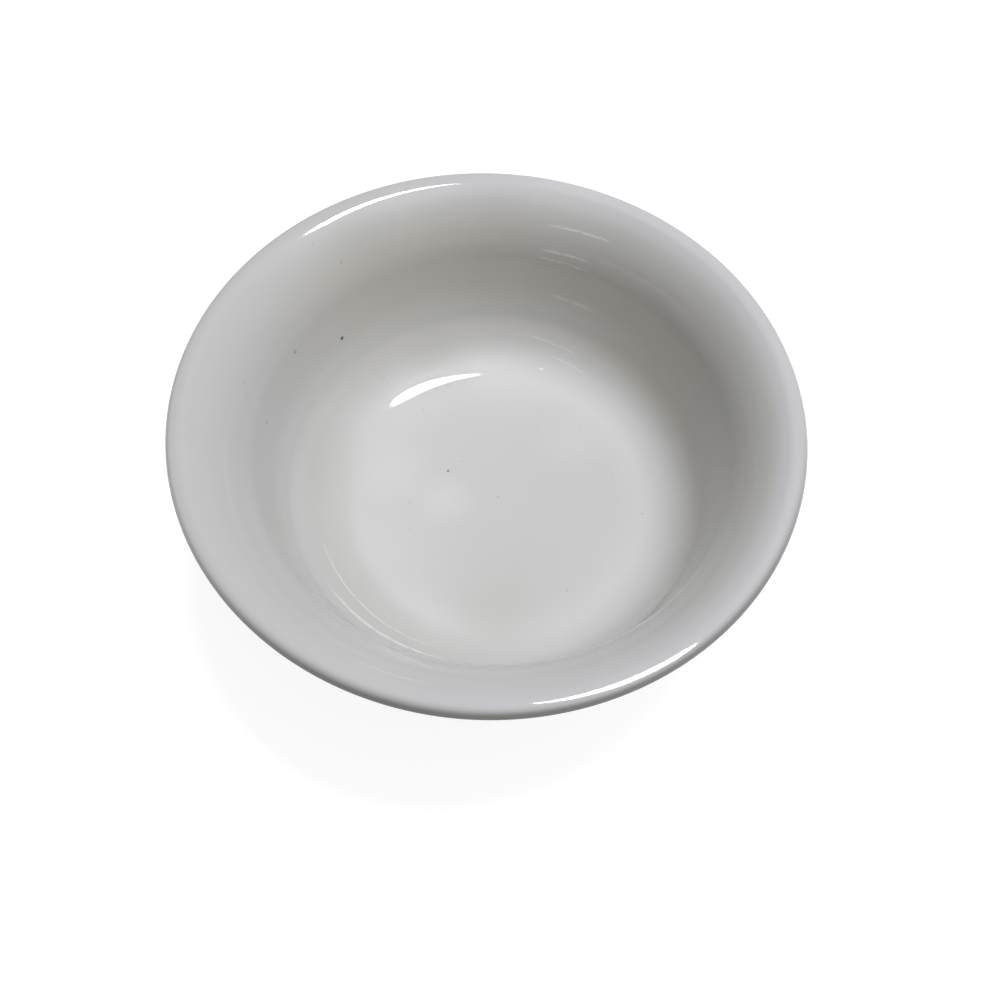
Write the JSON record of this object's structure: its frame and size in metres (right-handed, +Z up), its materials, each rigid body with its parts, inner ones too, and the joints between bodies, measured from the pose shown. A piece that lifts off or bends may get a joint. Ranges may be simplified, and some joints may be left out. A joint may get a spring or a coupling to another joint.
{
  "type": "dessert bowl",
  "caption": "Round glazed ceramic dessert bowl with a nearly flat floor, steep wall, flared rounded lip and a bare foot ring.",
  "frame": {"origin": "middle of the standing face of the foot ring", "axes": "+Z up along the axis that the bowl is turned about; X and Y lie in the standing plane and are interchangeable"},
  "size_m": [0.15, 0.15, 0.059],
  "materials": {
    "bare_clay": "fired, unglazed and matt, seen only on the wiped foot ring",
    "white_glaze": "glossy white glaze with a few dark specks and fine wear marks",
    "underside_glaze": "glossy white glaze, a little thinner and more uneven"
  },
  "bodies": {
    "root": {"ceramic_body": "bare_clay", "glaze_coat": "white_glaze", "base_glaze": "underside_glaze"}
  },
  "joints": []
}
